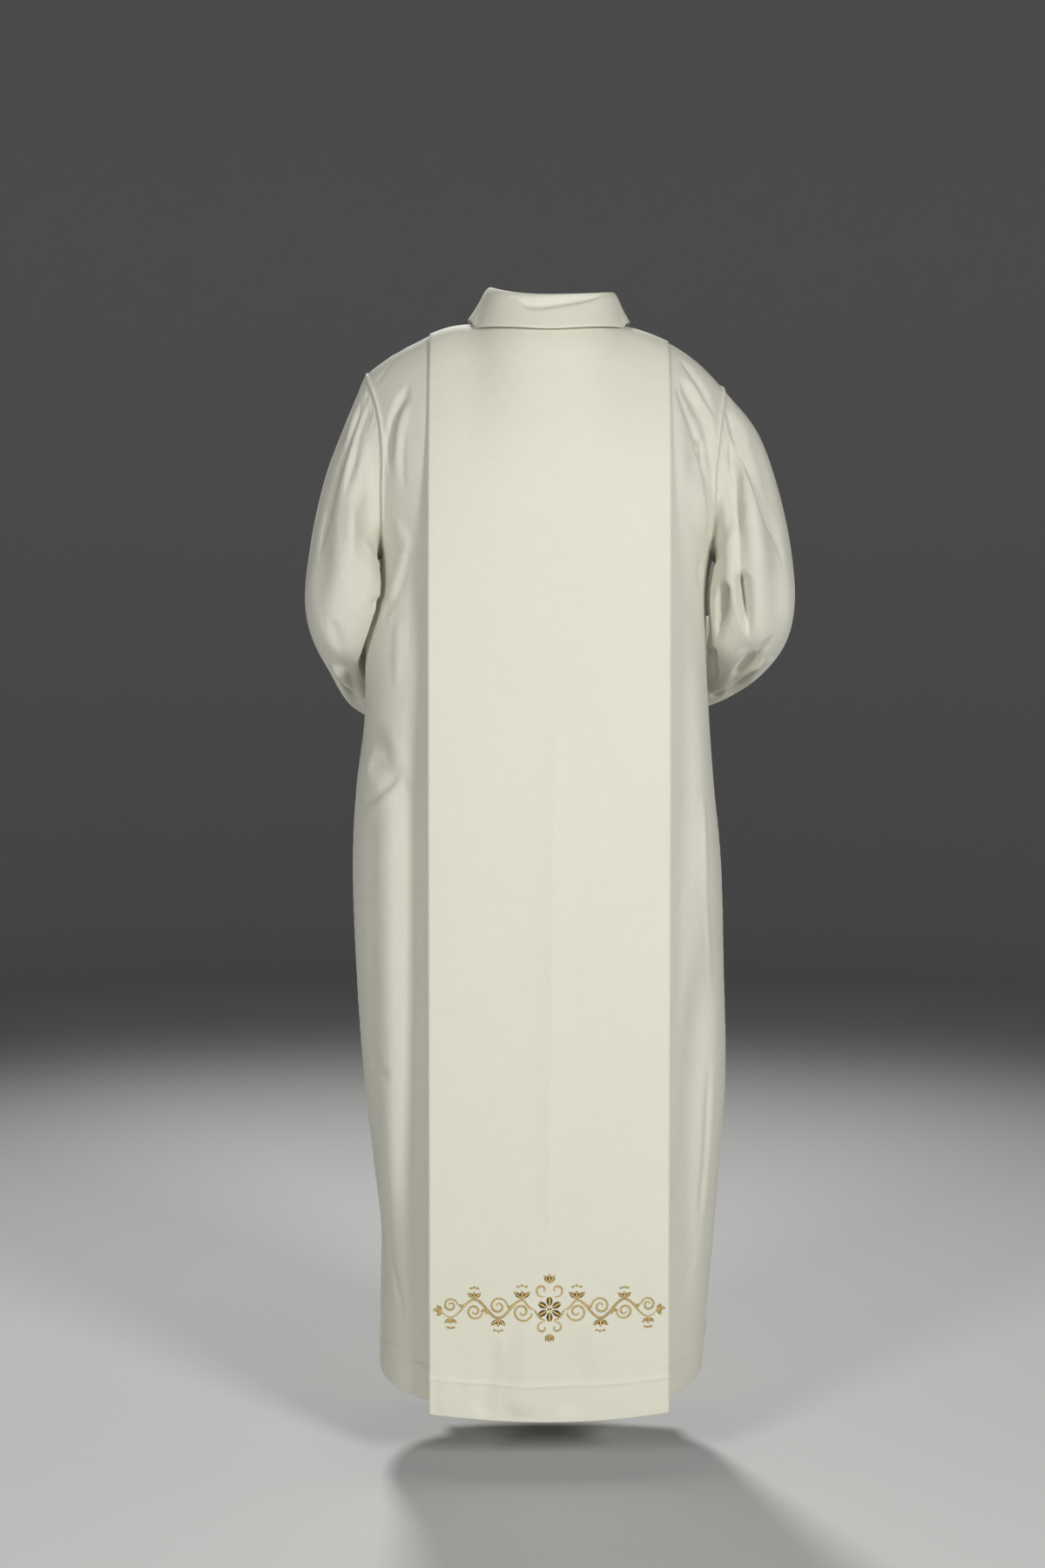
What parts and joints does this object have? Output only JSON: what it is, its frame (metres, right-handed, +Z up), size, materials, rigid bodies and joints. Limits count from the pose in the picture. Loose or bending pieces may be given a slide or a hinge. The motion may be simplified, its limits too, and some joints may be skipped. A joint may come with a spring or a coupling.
{
  "type": "alb",
  "caption": "Long ivory robe in its worn form: wide sleeves bent to the front, a straight panel hanging down the back and front, and a turned-down collar. Hollow, with no wearer.",
  "frame": {"origin": "middle of the neck opening, 1.500 m above the ground on which the wearer stands", "axes": "+Z up, -Y the way the wearer faces, +X the wearer's left"},
  "size_m": [0.6468, 0.4347, 1.478],
  "materials": {
    "ivory_cloth": "smooth matt twill"
  },
  "bodies": {
    "root": {"alb_back": "ivory_cloth", "alb_front": "ivory_cloth", "scapular_back": "ivory_cloth", "scapular_front": "ivory_cloth", "sleeve_left": "ivory_cloth", "sleeve_right": "ivory_cloth", "collar_stand": "ivory_cloth", "collar_leaf": "ivory_cloth"}
  },
  "joints": []
}
